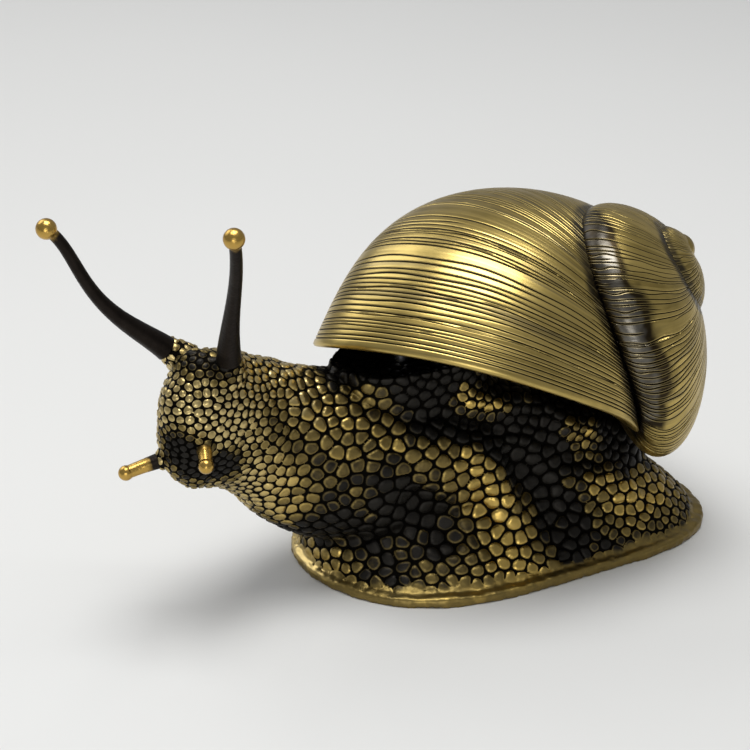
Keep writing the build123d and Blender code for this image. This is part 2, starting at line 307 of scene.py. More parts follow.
# %% Lip curve
arch_radius, arch_rise = 135.0, 5.5
columns = 104
around = np.arange(columns) * 2 * np.pi / columns
first_line = horn(0, np.arange(20) * 2 * np.pi / 20)
lip_out = math.cos(lip_bearing) * shell_side + math.sin(lip_bearing) * shell_rise
lip_ahead = math.sin(lip_bearing) * shell_side - math.cos(lip_bearing) * shell_rise
lip_back = math.radians(35.4 + 11.1)
lip_sweep = -math.cos(lip_back) * shell_axis - math.sin(lip_back) * lip_ahead
lip_normal = np.cross(lip_out, lip_sweep)
arch_middle = first_line.mean(0) + lip_normal * (arch_radius - arch_rise)


def lip_turn(margin, wall=0.0):
    """Turns before the lip plane at which each column reaches the arched edge."""
    low = np.full(columns, 0.0)
    high = np.full(columns, 0.16)
    for _ in range(30):
        middle = (low + high) / 2
        away = horn(middle, around, wall) - arch_middle
        away = away - (away @ lip_out)[:, None] * lip_out
        outside = np.linalg.norm(away, axis=1) > arch_radius + margin
        high = np.where(outside, middle, high)
        low = np.where(outside, low, middle)
    return high


bead_radius = shell_wall / 2
outer_edge = lip_turn(bead_radius)
inner_edge = lip_turn(bead_radius, shell_wall)
print("lip arch in turns:", outer_edge.max().round(4))

# %% [markdown]
# ## Growth grooves
#
# The real grooves are thin dark lines about 1.5 mm apart on the last whorl, closer on the early
# ones and at the very lip. They were cut into the wax model with a V-shaped tool. Each groove
# gets its own rows in the mesh, more of them on the last whorl, so it stays crisp without a very
# fine mesh everywhere. Where the next groove is far enough off, one more row carries the rib.

# %% Rows and grooves
last_turn = 2.4
first_groove = 0.0055
gap_turns, gap_sizes = (0, 0.06, 0.12, 0.5, 0.7, 1.6, 2.4), (1.2, 1.5, 1.55, 1.45, 1.15, 1.0, 0.8)
width_turns, width_sizes = (0, 0.5, 1.0, 2.4), (0.72, 0.66, 0.48, 0.32)
many_rows, few_rows = (-1.7, -0.9, 0.0, 0.9, 1.7), (-0.9, 0.0, 0.9)
few_rows_from = 1.2
rib_row = 3.0

groove_starts, groove_widths = [], []
turn = first_groove
while turn < last_turn - 0.03:
    speed = np.linalg.norm(horn(turn + 1e-4, around) - horn(turn, around), axis=1).max() / 1e-4
    gap = np.interp(turn, gap_turns, gap_sizes) * random.uniform(0.6, 1.5)
    width = np.interp(turn, width_turns, width_sizes)
    groove_starts.append(turn)
    groove_widths.append(min(width, gap * 0.5) / speed)
    turn += gap / speed
grooves = len(groove_starts)

row_turns, row_grooves, row_places = [0.0], [-1], [0.0]
for number, (start, width) in enumerate(zip(groove_starts, groove_widths)):
    for place in many_rows if start < few_rows_from else few_rows:
        row_turns.append(start + place * width / 2)
        row_grooves.append(number)
        row_places.append(place)
    end = last_turn
    if number < grooves - 1:
        end = groove_starts[number + 1] - groove_widths[number + 1] / 2
    begin = start + width / 2
    if (end - begin) > 2.2 * width:
        row_turns.append((begin + end) / 2)
        row_grooves.append(number)
        row_places.append(rib_row)
order = np.argsort(row_turns)
row_turns, row_grooves, row_places = (
    np.array(values)[order] for values in (row_turns, row_grooves, row_places)
)
print("grooves:", grooves, "rows:", len(row_turns))

# %% [markdown]
# No groove on the cast is quite straight or even. So the rows waver, most of them together and
# each third groove in its own way. Some grooves are shallow, a third of them run out on the way,
# and four near the lip are deep, where a snail rests from growing.

# %% Wavering of the lines
turn_grid, around_grid = np.meshgrid(row_turns, around, indexing="ij")
speed_turns, speed_sizes = (0, 0.5, 1, 1.6, 2.4), (230, 175, 100, 60, 30)
warp_size = 0.36
warp = np.zeros_like(turn_grid)
for wave in range(1, 6):
    phase = random.uniform(0, 6.3, 3)
    warp += np.sin(wave * around_grid + phase[0] + 2.2 * np.sin(5.1 * turn_grid + phase[1])) / wave
own_wave = 0.5 * np.sin(9 * around_grid + 1.9 * row_grooves[:, None])
warp += own_wave * (row_grooves % 3 == 0)[:, None]
mm_per_turn = np.interp(turn_grid, speed_turns, speed_sizes)
warp *= warp_size / mm_per_turn * smoothstep(0.0, 0.05, turn_grid)
lip_share = np.exp(-turn_grid / 0.09)
skin_turns = turn_grid + warp + outer_edge[None, :] * lip_share
print("lines waver by up to", (np.abs(warp) * mm_per_turn).max().round(2), "mm")

# %% Depth of each groove
deep_turns, deep_strength = (0.022, 0.067, 0.117, 0.166), 1.25
strength = random.uniform(0.65, 1.1, grooves)
runs_out = (random.uniform(size=grooves) < 0.34) & (np.array(groove_starts) > 0.1)
for deep_turn in deep_turns:
    number = np.abs(np.array(groove_starts) - deep_turn).argmin()
    strength[number], runs_out[number] = deep_strength, False
ends = random.uniform(0, 2 * np.pi, grooves)
lengths = random.uniform(1.2, 3.6, grooves)
depth = np.zeros_like(turn_grid)
for number in range(grooves):
    rows = row_grooves == number
    along = np.full(columns, strength[number])
    along *= 0.82 + 0.18 * np.sin(around * 3 + ends[number] * 5) * np.sin(around * 7 + ends[number])
    if runs_out[number]:
        away = np.abs((around - ends[number] + np.pi) % (2 * np.pi) - np.pi)
        along *= 0.12 + 0.88 * smoothstep(lengths[number] / 2 + 0.25, lengths[number] / 2, away)
    shape = np.interp(np.abs(row_places[rows]), (0, 0.9), (1.0, 0.0))
    depth[rows] = shape[:, None] * along[None, :]
rib_tones = random.uniform(size=grooves + 1)
rib_value = rib_tones[row_grooves + (row_places >= 0)][:, None] * np.ones(columns)
beside = smoothstep(0.2, 0.6, np.roll(depth, 1, 0) + np.roll(depth, -1, 0))
crest = (np.abs(row_places) == 0.9)[:, None] * beside
print("mean groove strength", strength.mean().round(2))

# %% [markdown]
# ## Skin of the shell
#
# The rows now become places on the horn, with the grooves pressed in. The growth rule gives no
# outward direction, so that is found from two short steps along the surface.


# %% Places of the skin
def across(turns, columns_at, wall=0.0):
    """Outward direction of the shell's surface."""
    step = 1e-3
    place = horn(turns, columns_at, wall)
    one = horn(turns + step, columns_at, wall) - place
    two = horn(turns, columns_at + step * 6, wall) - place
    normal = np.cross(two, one)
    normal /= np.linalg.norm(normal, axis=-1)[..., None] + 1e-12
    centre = horn(turns, columns_at * 0, wall) / 2 + horn(turns, columns_at * 0 + np.pi, wall) / 2
    side = np.sign(np.median(((place - centre) * normal).sum(-1)))
    return normal * side


skin = horn(skin_turns, around_grid)
groove_depth = np.interp(turn_grid, (0, 0.5, 1.0, 2.4), (0.34, 0.34, 0.25, 0.16))
outside = skin - across(skin_turns, around_grid) * (groove_depth * depth)[..., None]
print("outside", outside.shape)

# %% [markdown]
# Two things depend on the shape as a whole: how open each place is, and how far it is from the
# next whorl, which shows where the whorls meet in a seam. Rays and distances are slow to find,
# so both are worked out on a coarse copy of the horn and looked up from there.

# %% Openness on a coarse copy
coarse_rows, coarse_columns = 110, 121
coarse_turns = np.linspace(0.0, last_turn, coarse_rows)
coarse_around = np.linspace(0, 2 * np.pi, coarse_columns)
coarse_a, coarse_b = np.meshgrid(coarse_turns + 0.004, coarse_around, indexing="ij")
coarse_grid = horn(coarse_a, coarse_b)
coarse_normals = across(coarse_a, coarse_b).reshape(-1, 3)
coarse_open = openness(coarse_grid.reshape(-1, 3), coarse_normals, cad_tree, start=0.9)
coarse_open = coarse_open.reshape(coarse_a.shape)
coarse_open[:, -1] = coarse_open[:, 0]
print("coarse copy is open by", coarse_open.mean().round(2))

# %% Distance from the next whorl
# Only strips more than 0.68 turns off count, and gaps wider than 6 mm aren't measured.
strip_rows = 18
far_turns, far_gap = 0.68, 6.0
seam_gap = np.full(coarse_a.shape, far_gap)
for first in range(0, coarse_rows - 1, strip_rows):
    rows = slice(first, first + strip_rows + 1)
    strip = coarse_grid[rows].reshape(-1, 3)
    corners = np.arange(len(strip)).reshape(-1, coarse_columns)
    quads = np.stack([corners[:-1, :-1], corners[:-1, 1:], corners[1:, 1:], corners[1:, :-1]], -1)
    strip_tree = BVHTree.FromPolygons(strip.tolist(), quads.reshape(-1, 4).tolist())
    turns_away = np.abs(coarse_turns - coarse_turns[rows].mean())
    for row in np.nonzero(turns_away > far_turns)[0]:
        for column in range(coarse_columns):
            found = strip_tree.find_nearest(Vector(coarse_grid[row, column]), far_gap)
            if found[0] is not None:
                seam_gap[row, column] = min(seam_gap[row, column], found[3])
print("places near a seam:", (seam_gap < far_gap).mean().round(2))


# %% Look both up for the fine rows
def look_up(table, turns, angles):
    """Value of a coarse table at finer places, straight between its entries."""
    i = np.clip(turns / last_turn * (coarse_rows - 1), 0, coarse_rows - 1.001)
    j = (angles % (2 * np.pi)) / (2 * np.pi) * (coarse_columns - 1)
    i0, j0 = i.astype(int), j.astype(int)
    fi, fj = i - i0, j - j0
    before = table[i0, j0] * (1 - fj) + table[i0, j0 + 1] * fj
    after = table[i0 + 1, j0] * (1 - fj) + table[i0 + 1, j0 + 1] * fj
    return before * (1 - fi) + after * fi


# On the smallest whorls the rays start too far out to count, so those are set as open.
skin_open = look_up(coarse_open, skin_turns, around_grid)
skin_open = np.maximum(skin_open, 0.6 * smoothstep(1.7, 2.1, skin_turns))
skin_seam = look_up(seam_gap, skin_turns, around_grid)
print("skin is open by", skin_open.mean().round(2))

# %% [markdown]
# A small ball closes the tip of the spiral, a rounded bead forms the lip, and a plain inside goes
# on as far as the hollow does. The rear corner of the lip sags on the real cast, so the points
# near it are moved down. Faces that no ray can leave lie under the next whorl and are left out.

# %% Ball at the tip, bead and inside
nub_radius = 3.7
nub_middle = outside[-1].mean(0)
nub_core = apex + shell_axis * ((nub_middle - apex) @ shell_axis)
nub_middle = 0.6 * nub_middle + 0.4 * nub_core - 0.9 * shell_axis
nub_ring = np.outer(np.cos(around), shell_side) + np.outer(np.sin(around), shell_rise)
nub_rows = [
    nub_middle + nub_radius * (shell_axis * math.cos(angle) + nub_ring * math.sin(angle))
    for angle in np.linspace(0.15, 2.5, 14)
]
edge_in = horn(inner_edge, around, shell_wall)
bead_way = horn(outer_edge, around) - horn(outer_edge + 0.004, around)
bead_way /= np.linalg.norm(bead_way, axis=1)[:, None]
bead_middle = (outside[0] + edge_in) / 2
bead_rows = []
for angle in np.linspace(0, np.pi, 9)[1:-1]:
    out = (outside[0] - bead_middle) * math.cos(angle)
    bead_rows.append(bead_middle + out + bead_way * bead_radius * math.sin(angle))
hollow_end = 0.36
inner_turns = np.linspace(0, 1, 26)[:, None] ** 1.2 * (hollow_end - inner_edge) + inner_edge
inside = horn(inner_turns, np.broadcast_to(around, inner_turns.shape), shell_wall)
print("rows of the ball, bead and inside:", len(nub_rows), len(bead_rows), len(inside))

# %% Points and faces of the skin
corner, corner_width = np.array((19.0, 26.5, 32.0)) + foot, 13.0
sag = np.array((2.1, -0.2, -4.3))
grids = [np.array(nub_rows), outside[::-1], np.array(bead_rows), inside]
points = np.concatenate([grid.reshape(-1, 3) for grid in grids])
points += np.exp(-(((points - corner) / corner_width) ** 2).sum(1))[:, None] * sag
nub_points, bead_points = len(nub_rows) * columns, len(bead_rows) * columns
inside_points = inside.size // 3
total_rows = len(points) // columns
# The inside of the shell counts as nearly closed, so the finish paints it with dark shade.
open_parts = [np.full(nub_points, 0.9), skin_open[::-1].ravel()]
open_parts += [np.ones(bead_points), np.full(inside_points, 0.12)]
open_all = np.concatenate(open_parts)
hidden = open_all.reshape(total_rows, columns) <= 0.0
hidden[: len(nub_rows) + (row_turns > 1.9).sum()] = False

faces = []
for row in range(total_rows - 1):
    for column in range(columns):
        after = (column + 1) % columns
        if hidden[row, column] and hidden[row + 1, column] and hidden[row, after]:
            continue
        a, b = row * columns + column, row * columns + after
        faces.append((a, b, b + columns, a + columns))
end_point = len(points)
tip_point = end_point + 1
points = np.vstack([points, inside[-1].mean(0), nub_middle + shell_axis * nub_radius])
last = (total_rows - 1) * columns
for column in range(columns):
    after = (column + 1) % columns
    faces.append((last + column, last + after, end_point))
    faces.append((after, column, tip_point))
used = np.zeros(len(points), bool)
used[[index for face in faces for index in face]] = True
renumber = np.cumsum(used) - 1
faces = [tuple(int(renumber[index]) for index in face) for face in faces]
shell_skin = new_piece("shell_skin", points[used], faces)
print("shell skin:", used.sum(), "points,", len(faces), "faces")

# %% [markdown]
# ## Where the shell is dark
#
# The finish follows the growth lines, so the mesh carries what it needs: how deep a groove is, how
# light each rib came out of the polishing, and where the crests beside the grooves are, which
# polish and a painted highlight make light. A band of painted shade and dark reflection lies on the
# second whorl where the last one shades it, and painted shade lies along the seam.


# %% Shade of the shell
def padded_values(skin_values, rest):
    """One value for each kept point: ball, skin, bead, inside and the two end points."""
    tip_value = skin_values[-1].mean()
    values = [np.full(nub_points, tip_value), skin_values[::-1].ravel()]
    values += [np.full(bead_points + inside_points, rest), (rest, tip_value)]
    return np.concatenate(values)[used]


flat_skin = skin.reshape(-1, 3)
# The painted shade band reaches down to these angles around the oval, at these turns before the
# lip.
shade_turns = (0.76, 0.8, 0.84, 0.9, 1.0, 1.08, 1.15)
shade_angles = (6.7, 6.0, 5.62, 5.5, 5.4, 5.4, 5.5)
shade_edge = np.interp(turn_grid, shade_turns, shade_angles)
shade_edge += 0.1 * soft_noise(flat_skin, 9, 31, 3).reshape(turn_grid.shape)
# Painted shade and dark reflection: a dark band on the second whorl, where the last whorl shades
# it.
band = smoothstep(-0.25, 0.35, (around_grid - 1.2) % (2 * np.pi) + 1.2 - shade_edge)
band *= smoothstep(0.69, 0.76, turn_grid) * smoothstep(1.2, 1.12, turn_grid)
# Painted shade along the seam where the whorls meet.
seam_width = np.interp(turn_grid, (0, 1, 2), (4.4, 3.0, 1.4))
uneven = 0.14 * soft_noise(flat_skin, 8, 32, 3).reshape(turn_grid.shape)
seam = smoothstep(1.0, 0.12, skin_seam / seam_width + uneven)
print("share of the skin in the band and in the seam:", band.mean().round(2), seam.mean().round(2))

# %% Store what the shell finish needs
mesh = shell_skin.data
set_attribute(mesh, "open", np.append(open_all, (0.05, 0.5))[used])
set_attribute(mesh, "rib", padded_values(rib_value, 0.5))
for name, values in (("groove", depth), ("band", band), ("crest", crest), ("seam", seam)):
    set_attribute(mesh, name, padded_values(values, 0.0))
steps = np.diff(row_turns) * np.interp(row_turns[1:], speed_turns, speed_sizes)
path = np.append(0, np.cumsum(steps))[:, None] * np.ones(columns)
grown = [path, 9 * np.cos(around_grid), 9 * np.sin(around_grid)]
grown = np.stack([padded_values(values, 0.0) for values in grown], 1)
set_attribute(mesh, "grown", grown, "FLOAT_VECTOR")
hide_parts("shell")
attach(shell_skin, "root")
print("growth lines are laid over", path.max().round(), "mm")

# %% [markdown]
# ## The body
#
# The body casting is covered in pebble scales, each a flat gold top in a dark groove. Sculpting
# two thousand scales by hand would take days, and a bump map would look flat at the outline. So
# the CAD body is remeshed finely, scale centres are scattered over it, and each vertex learns how
# far it is from the border between its scale and the next. That one distance carves the grooves
# and later colours them.

# %% Fine copy of the CAD body
voxel = 0.5
body_skin = bpy.data.objects.new("body_skin", nodes["body"].data.copy())
bpy.context.collection.objects.link(body_skin)
remesh = body_skin.modifiers.new("remesh", "REMESH")
remesh.mode, remesh.voxel_size = "VOXEL", voxel / 1000
smooth = body_skin.modifiers.new("smooth", "SMOOTH")
smooth.factor, smooth.iterations = 0.5, 5


def bake_modifiers(piece):
    """Applies the modifiers of a piece to its mesh."""
    bpy.context.view_layer.update()
    graph = bpy.context.evaluated_depsgraph_get()
    baked = bpy.data.meshes.new_from_object(piece.evaluated_get(graph))
    piece.modifiers.clear()
    piece.data = baked


bake_modifiers(body_skin)
body_skin.data.materials.clear()
body_tree = mesh_tree([nodes["body"]])
places = vertex_array(body_skin.data) * 1000
normals = vertex_array(body_skin.data, "normal")
print("fine body:", len(places), "points")

# %% [markdown]
# The hollow underside is never seen in such detail, so its points are found and thinned out. A
# point is in the hollow if a ray down from it gets away, but rays up and to both sides meet the
# casting. The outside keeps every point.

# %% Thin out the hollow
down_up_sides = [Vector(way) for way in ((0, 0, -1), (0, 0, 1), (1, 0, 0), (-1, 0, 0))]


def in_hollow(places, normals):
    """True for each point of the hollow or of the flat face that stands on the floor."""
    result = (normals[:, 2] < -0.9) & (places[:, 2] < 0.3)
    for number in np.nonzero(~result & (places[:, 1] > foot[1] - 45.5))[0]:
        origin = Vector(places[number] + normals[number] * 0.4)
        blocked = [body_tree.ray_cast(origin, way)[0] is not None for way in down_up_sides]
        result[number] = blocked == [False, True, True, True]
    return result


cavity = in_hollow(places, normals)
group = body_skin.vertex_groups.new(name="hollow")
group.add(np.nonzero(cavity)[0].tolist(), 1.0, "REPLACE")
thin = body_skin.modifiers.new("thin", "DECIMATE")
thin.vertex_group = "hollow"
thin.ratio = 1 - 0.9 * cavity.mean()
bake_modifiers(body_skin)
body_skin.vertex_groups.clear()
places = vertex_array(body_skin.data) * 1000
normals = vertex_array(body_skin.data, "normal")
print("share of the hollow", cavity.mean().round(2), "left", len(places), "points")

# %% Which points are outside
outer = ~in_hollow(places, normals)
print("outside points:", outer.sum())

# %% [markdown]
# ## Folds of the body
#
# The CAD body has the ridge, valley, bulge and dimple of each flank. Here the valley and the
# dimple get a little deeper, two rows of soft lumps rise in the shade of the lip, the back fills
# out behind the shell, and the whole skin gets the slight waviness that a hand leaves in wax.
# Each fold is a line of points with a height and a width, and pushes the surface in or out.


# %% Lines of folds
def both_flanks(line):
    """A line on the right flank, and its mirror image on the left one."""
    line = np.array(line, float)
    mirrored = line * (-1, 1, 1)
    mirrored[:, 0] += 8 * (line[:, 2] / 50) ** 1.5
    return line, mirrored


def line_distance(points, line):
    """Distance of each point from a line of joined points."""
    best = np.full(len(points), 1e9)
    for start, end in zip(line[:-1], line[1:]):
        way = end - start
        share = np.clip((points - start) @ way / (way @ way), 0, 1)
        best = np.minimum(best, np.linalg.norm(points - start - share[:, None] * way, axis=1))
    return best


def fold_sum(points, table):
    """Sum of soft ridges on both flanks. A row is a height, a width and a line from the top."""
    total = np.zeros(len(points))
    for height, width, line in table:
        for side in both_flanks(line):
            total += height * np.exp(-((line_distance(points, side) / width) ** 2))
    return total


front_lump = ((10.5, -10.7, 40.3), (9.7, -4.4, 37.8), (8.3, 1.4, 37.5))
rear_lump = ((8.8, 13, 29.8), (7.4, 18.5, 28.4))
folds = (
    # ridge and valley
    (0.4, 3.4, ((15, -12.1, 31.4), (16.1, -6.3, 19.8), (19.9, -2.7, 10.9), (26.4, -1.2, 2.5))),
    (-0.5, 3.0, ((12.7, -4.1, 30.4), (14.2, 1.6, 20.1), (18.2, 5.2, 11.3), (23.9, 5.7, 3.9))),
    # dimple behind the neck
    (-0.6, 4.0, ((19.6, -31.1, 25.3), (18.8, -24.9, 19), (19.7, -19.3, 13.4))),
    (1.7, 3.2, front_lump),
    (1.9, 3.2, rear_lump),
    # back
    (1.2, 4.2, ((0.5, 21, 31), (1, 27, 25.5), (1, 31, 21))),
)
print("lines of folds on each flank:", len(folds))

# %% Push the folds
local = places - foot
push = fold_sum(local, folds) * smoothstep(2.6, 6.0, local[:, 2])
push += 0.35 * soft_noise(local, 14, 5) * smoothstep(3, 8, local[:, 2])
places[outer] += (normals * push[:, None])[outer]
print("folds move the skin by", push.min().round(2), "to", push.max().round(2), "mm")

# %% [markdown]
# ## Scales
#
# Scale centres are scattered so that no two are closer than a scale's width. The scales are
# small on the head, the tail, the foot's edge and the lumps and large on the flank, and no two
# neighbours are quite alike. The centres are then moved twice to the middle of their own cells,
# as real scales share out the room. Height counts a little more than length, so the scales come
# out wider than tall.

# %% Widths of the scales
flank_width = 3.75
squash = np.array((1.0, 1.0, 1.15))
where = local * squash
head_way = smoothstep(-46, -70, local[:, 1])
scale_width = flank_width - 1.7 * head_way - 0.5 * smoothstep(6, 22, local[:, 1])
scale_width -= 0.8 * smoothstep(38, 55, local[:, 2]) * (1 - head_way)
scale_width -= 0.6 * smoothstep(9, 3, local[:, 2])
scale_width -= fold_sum(local, ((1.4, 5.5, front_lump), (1.4, 5.5, rear_lump)))
fineness = flank_width / scale_width
print("widths from", scale_width.min().round(2), "to", scale_width.max().round(2), "mm")

# %% Scatter the scale centres
search_box = 4.4
outer_points = np.nonzero(outer)[0]
box_steps = [(i, j, k) for i in (-1, 0, 1) for j in (-1, 0, 1) for k in (-1, 0, 1)]
cells = {}
centres = []
for number in random.permutation(outer_points):
    place, width = where[number], scale_width[number] * random.uniform(0.68, 1.06)
    key = tuple((place // search_box).astype(int))
    keys = [(key[0] + i, key[1] + j, key[2] + k) for i, j, k in box_steps]
    others = [other for near_key in keys for other in cells.get(near_key, ())]
    if all(((where[other] - place) ** 2).sum() >= width**2 for other in others):
        cells.setdefault(key, []).append(number)
        centres.append(place)
centres = np.array(centres)
print("scales:", len(centres))


# %% Even out the scales
def nearest(points, sources, count):
    """Numbers of the nearest sources of each point, nearest first."""
    tree = point_tree(sources)
    return np.array([[found[1] for found in tree.find_n(place, count)] for place in points])


for step in range(2):
    first = nearest(where[outer], centres, 1)[:, 0]
    count = np.bincount(first, minlength=len(centres))
    for axis in range(3):
        total = np.bincount(first, where[outer][:, axis], minlength=len(centres))
        centres[:, axis] = np.where(count > 0, total / np.maximum(count, 1), centres[:, axis])
print("smallest scale has", count.min(), "points")

# %% [markdown]
# A groove looks ragged where it runs across the mesh at a slant. So each point that lies near a
# border is first moved sideways onto it, and only then is the groove pressed in. Where three
# scales meet, the distances to the borders are blended, which rounds the corners of each scale.

# %% Distance from the border
corner_blend = 3.6
near = nearest(where, centres, 4)
one = centres[near[:, 0]]
edge = np.full(len(where), 9.0)
edge_way = np.zeros_like(where)
crowd = np.zeros(len(where))
for rank in (1, 2, 3):
    other = centres[near[:, rank]]
    way = (other - one) / np.linalg.norm(other - one, axis=1)[:, None]
    distance = (((other + one) / 2 - where) * way).sum(1)
    edge_way = np.where((distance < edge)[:, None], way, edge_way)
    edge = np.minimum(edge, distance)
    crowd += np.exp(-corner_blend * distance)
round_edge = -np.log(crowd) / corner_blend
print("mean distance from the border", edge[outer].mean().round(2), "mm")

# %% Move points onto the border
snap_distance = 0.27
flat_way = edge_way / squash
flat_way -= (flat_way * normals).sum(1)[:, None] * normals
length = np.linalg.norm(flat_way, axis=1)
flat_way /= np.maximum(length, 1e-6)[:, None]
rim_line = 0.8 * soft_noise(local, 9, 11, 3)
bare = smoothstep(3.9, 2.3, local[:, 2] + rim_line)
snap = outer & (bare < 0.99) & (edge < snap_distance) & (length > 0.3)
slide = edge / np.maximum((flat_way * squash * edge_way).sum(1), 0.5)
places[snap] += flat_way[snap] * slide[snap, None]
round_edge[snap] -= edge[snap]
print("points moved onto a border:", snap.sum())

# %% Carve the grooves
groove_bottom = -0.42 / fineness
cell_height = random.uniform(-0.08, 0.12, len(centres))
cell_tilt = random.normal(scale=0.045, size=(len(centres), 3))
lean = ((where - one) * cell_tilt[near[:, 0]]).sum(1)
top = 0.14 + cell_height[near[:, 0]] + lean
rise = smoothstep(0.02, 0.6, round_edge * fineness)
relief = groove_bottom + (top - groove_bottom) * rise + 0.05 * smoothstep(0.6, 1.7, round_edge)
rim_relief = 0.14 * soft_noise(local, 6, 12, 2) + 0.07 * soft_noise(local, 2.0, 13, 2)
relief = (relief * (1 - bare) + rim_relief * bare) * outer
places += normals * relief[:, None]
body_skin.data.vertices.foreach_set("co", (places / 1000).astype(np.float32).ravel())
body_skin.data.shade_smooth()
body_skin.data.update()
print("relief from", relief.min().round(2), "to", relief.max().round(2), "mm")

# %% [markdown]
# ## Where the body is dark
#
# The black patina stays where no cloth reaches: in the valley and the dimple of each flank, at the
# muzzle and under the neck. Painted shade darkens the scales in the shade of the lip and wherever
# few rays get away. The crests and lumps are rubbed to gold. The head and the faces of the neck
# that look up get painted light, a brighter and paler gold, for the light from above and its
# reflection. The script gives each place a value of wear, painted shade and painted light from
# lines like those of the folds and from the rays that the shell stops. It takes one mean value for
# each scale, so whole scales turn dark or bright, as on the cast.

# %% Shade of the shell on the body
normals = vertex_array(body_skin.data, "normal")
samples = random.choice(outer_points, 6000, replace=False)
sampled = places[samples], normals[samples]
open_samples = openness(*sampled, cad_tree, start=1.0)
under_samples = 1 - openness(*sampled, mesh_tree([nodes["shell"]]), start=1.0)
open_body = np.full(len(places), 0.15)
under = np.zeros(len(places))
open_body[outer] = spread(open_samples, places[samples], places[outer], 5)
under[outer] = spread(under_samples, places[samples], places[outer], 5)
print("mean openness", open_body[outer].mean().round(2), "shade", under[outer].mean().round(2))

# %% Wear, painted shade and painted light of each scale
base_wear_and_lighting = 0.47
under_lip = ((13.5, -28, 45), (13.2, -22, 41), (13.5, -16.5, 37), (12.5, -8, 32.5), (10, 8, 29))
wear_and_shade_lines = (
    # ridge, valley, bulge and dimple
    (0.60, 5.0, ((14, -15, 33), (16.1, -9.5, 22), (19.9, -6, 12), (24, -5, 5))),
    (-0.85, 6.5, ((12, -1, 32), (14, 5, 22), (17, 9, 13), (21, 10, 6))),
    (0.45, 5.5, ((12.6, 16, 19.5), (13.2, 24, 14.5), (13.5, 33, 10.3))),
    (-0.85, 6.5, ((19.6, -31, 24), (18.8, -26, 18), (19.7, -21, 12))),
    # throat, side of the neck, and painted shade under the lip
    (0.25, 8.0, ((16, -62, 30), (14, -52, 18), (10, -46, 10))),
    (-0.5, 6.5, ((20, -60, 43), (19.7, -52, 35), (19, -45, 24), (17.5, -39, 10), (21, -33, 6))),
    (-0.85, 4.6, under_lip),
    # muzzle and top of the head
    (-1.7, 5.0, ((25.2, -81.5, 45), (25, -78, 40.5), (24, -72, 39))),
    (-1.3, 5.0, ((19.7, -75.5, 64), (23.7, -72, 63))),
    (0.9, 3.6, front_lump),
    (0.9, 3.4, rear_lump),
)
# Painted light: the head and the faces that look up are drawn brighter and paler, as if lit from
# above.
face_up = smoothstep(0.1, 0.6, normals[:, 2]) * smoothstep(-38, -52, local[:, 1])
lit_head_and_tops = np.maximum(head_way, face_up)
wear_and_lighting = base_wear_and_lighting + fold_sum(local, wear_and_shade_lines) + 0.12 * soft_noise(local, 16, 21, 2)
# Painted light on the head and the faces that look up; painted shade under the shell and where few
# rays get away.
wear_and_lighting += 0.6 * lit_head_and_tops - 0.75 * smoothstep(0.12, 0.6, under) - 0.5 * smoothstep(0.75, 0.3, open_body)
members = near[:, 0][outer]
count = np.maximum(np.bincount(members, minlength=len(centres)), 1)
cell_wear_and_lighting = np.bincount(members, wear_and_lighting[outer], minlength=len(centres)) / count
cell_wear_and_lighting += random.normal(scale=0.12, size=len(centres))
print("wear of the scales from", cell_wear_and_lighting.min().round(2), "to", cell_wear_and_lighting.max().round(2))

# %% Store what the body finish needs
mesh = body_skin.data
edge_value = round_edge * fineness * (1 + 0.35 * head_way) * (1 - bare) + 1.2 * bare
wear_and_lighting_value = cell_wear_and_lighting[near[:, 0]] * (1 - bare) + bare * np.clip(wear_and_lighting + 0.1, 0.42, 0.75)
set_attribute(mesh, "edge", np.where(outer, edge_value, 1.2))
set_attribute(mesh, "wear_and_lighting", np.where(outer, wear_and_lighting_value, 0.3))
set_attribute(mesh, "bare", np.where(outer, bare, 1.0))
set_attribute(mesh, "inside", np.where(outer, 0.0, 1.0))
set_attribute(mesh, "lit_head_and_tops", lit_head_and_tops)
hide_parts("body")
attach(body_skin, "root")
print("body skin:", len(places), "points")

# %% [markdown]
# ## Brass of the shell
#
# Cast brass, ground and then polished by hand: copper with about a third of zinc. Brass is a metal,
# so its colour is the colour of its reflection. The polish reaches the ribs, and the crests beside
# the grooves are made light by the polish and a painted highlight; the dark patina stays in the
# grooves, and painted shade lies under the lip and along the seam of the whorls. The polishing
# lines run along the growth lines. On the real cast they are a tenth of a millimetre apart, too
# fine to show, so here they are drawn 0.6 mm apart.

# %% Patterns of the shell
shell_finish, tree, shader, place = new_material("polished_cast_brass")
groove, opened, rib, shaded_band, crested, seamed = (
    add_node(tree, "Attribute", {"attribute_name": name}, output="Fac")
    for name in ("groove", "open", "rib", "band", "crest", "seam")
)
grown = add_node(tree, "Attribute", {"attribute_name": "grown"}, output="Vector")
stretch = (1.0, 0.12, 0.12)
lines = add_node(tree, "VectorMath", {"operation": "MULTIPLY"}, _0=grown, _1=stretch)
blotch, streak, smear, grain = (
    add_node(tree, "TexNoise", Vector=at, Scale=1 / size, Detail=detail, Roughness=rough)
    for at, size, detail, rough in (
        (place, 9, 3.0, 0.6),
        (lines, 0.6, 4.0, 0.62),
        (lines, 2.6, 3.0, 0.6),
        (place, 0.45, 3.0, 0.5),
    )  # sizes in mm
)
print("patterns of the shell:", len(tree.nodes), "nodes")

# %% [markdown]
# Brass of two tones comes first. Then one layer after another covers it, each where a pattern lies
# between two values: smears of old polish, the painted shade band and its grey heart, and painted
# shade in the seam.

